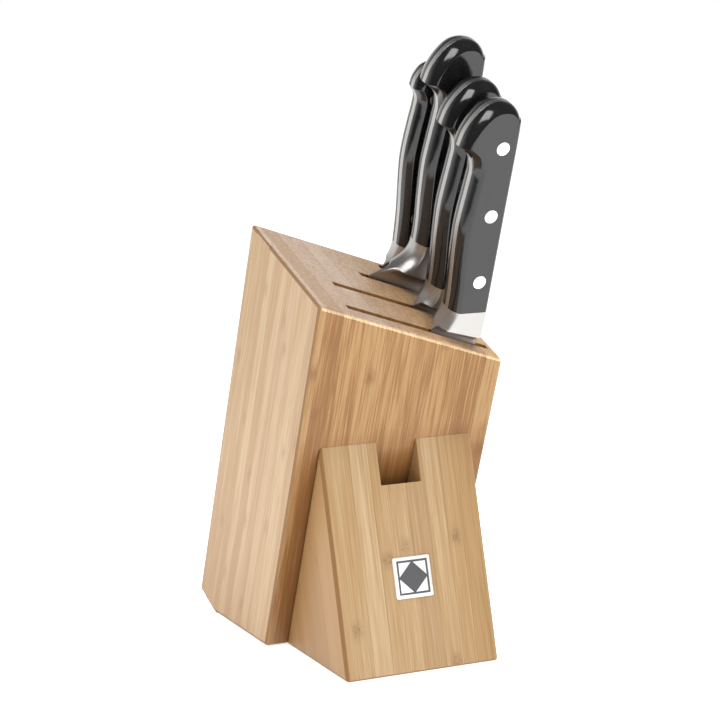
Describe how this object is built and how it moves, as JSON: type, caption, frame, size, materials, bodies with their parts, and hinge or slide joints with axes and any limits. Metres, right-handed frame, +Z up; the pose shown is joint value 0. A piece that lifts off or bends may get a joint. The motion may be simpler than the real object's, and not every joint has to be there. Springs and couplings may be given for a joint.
{
  "type": "knife block with knives",
  "caption": "Leaning bamboo knife block propped by a wedge with a shears pocket, holding forged knives with riveted black handles that draw out along their slots.",
  "frame": {"origin": "on the table plane under the supporting wedge, in the block's middle plane, 25 mm in front of the block's front bottom edge", "axes": "+Z up, +Y from the wedge's toe towards the back of the block, +X across the block from its high side to its low side"},
  "size_m": [0.12, 0.2124, 0.3493],
  "materials": {
    "block_bamboo": "oiled bamboo laminated from edge-glued strips, grain along the block, fine fibres and darker knuckle bands",
    "slot_strip_bamboo": "oiled bamboo spacer strips, grain along the block",
    "wedge_bamboo": "oiled bamboo laminated from edge-glued strips, grain running down the slope",
    "knife_steel": "satin ground stainless steel, polished bolster",
    "handle_black": "smooth glossy black plastic handle scales",
    "rivet_steel": "bright stainless rivet heads ground flush",
    "badge_steel": "bright stainless plate with a dark line frame and a plain diamond"
  },
  "bodies": {
    "block": {"front_board": "block_bamboo", "second_board": "block_bamboo", "third_board": "block_bamboo", "fourth_board": "block_bamboo", "back_board": "block_bamboo", "carving_slot_left_strip": "slot_strip_bamboo", "carving_slot_right_strip": "slot_strip_bamboo", "carving_slot_floor_strip": "slot_strip_bamboo", "utility_slot_left_strip": "slot_strip_bamboo", "utility_slot_right_strip": "slot_strip_bamboo", "utility_slot_floor_strip": "slot_strip_bamboo", "chefs_slot_left_strip": "slot_strip_bamboo", "chefs_slot_right_strip": "slot_strip_bamboo", "chefs_slot_floor_strip": "slot_strip_bamboo", "paring_slot_left_strip": "slot_strip_bamboo", "paring_slot_right_strip": "slot_strip_bamboo", "paring_slot_floor_strip": "slot_strip_bamboo", "support_wedge": "wedge_bamboo", "badge_plate": "badge_steel"},
    "paring_knife": {"paring_knife_blade": "knife_steel", "paring_knife_front_scale": "handle_black", "paring_knife_back_scale": "handle_black", "paring_knife_top_rivet": "rivet_steel", "paring_knife_middle_rivet": "rivet_steel", "paring_knife_bottom_rivet": "rivet_steel"},
    "chefs_knife": {"chefs_knife_blade": "knife_steel", "chefs_knife_front_scale": "handle_black", "chefs_knife_back_scale": "handle_black", "chefs_knife_top_rivet": "rivet_steel", "chefs_knife_middle_rivet": "rivet_steel", "chefs_knife_bottom_rivet": "rivet_steel"},
    "utility_knife": {"utility_knife_blade": "knife_steel", "utility_knife_front_scale": "handle_black", "utility_knife_back_scale": "handle_black", "utility_knife_top_rivet": "rivet_steel", "utility_knife_middle_rivet": "rivet_steel", "utility_knife_bottom_rivet": "rivet_steel"},
    "carving_knife": {"carving_knife_blade": "knife_steel", "carving_knife_front_scale": "handle_black", "carving_knife_back_scale": "handle_black", "carving_knife_top_rivet": "rivet_steel", "carving_knife_middle_rivet": "rivet_steel", "carving_knife_bottom_rivet": "rivet_steel"}
  },
  "joints": [
    {"name": "paring_knife_draw", "type": "slide", "parent": "block", "child": "paring_knife", "axis": [0, -0.342, 0.9397], "range_m": [0, 0.11]},
    {"name": "chefs_knife_draw", "type": "slide", "parent": "block", "child": "chefs_knife", "axis": [0, -0.342, 0.9397], "range_m": [0, 0.21]},
    {"name": "utility_knife_draw", "type": "slide", "parent": "block", "child": "utility_knife", "axis": [0, -0.342, 0.9397], "range_m": [0, 0.14]},
    {"name": "carving_knife_draw", "type": "slide", "parent": "block", "child": "carving_knife", "axis": [0, -0.342, 0.9397], "range_m": [0, 0.17]}
  ]
}
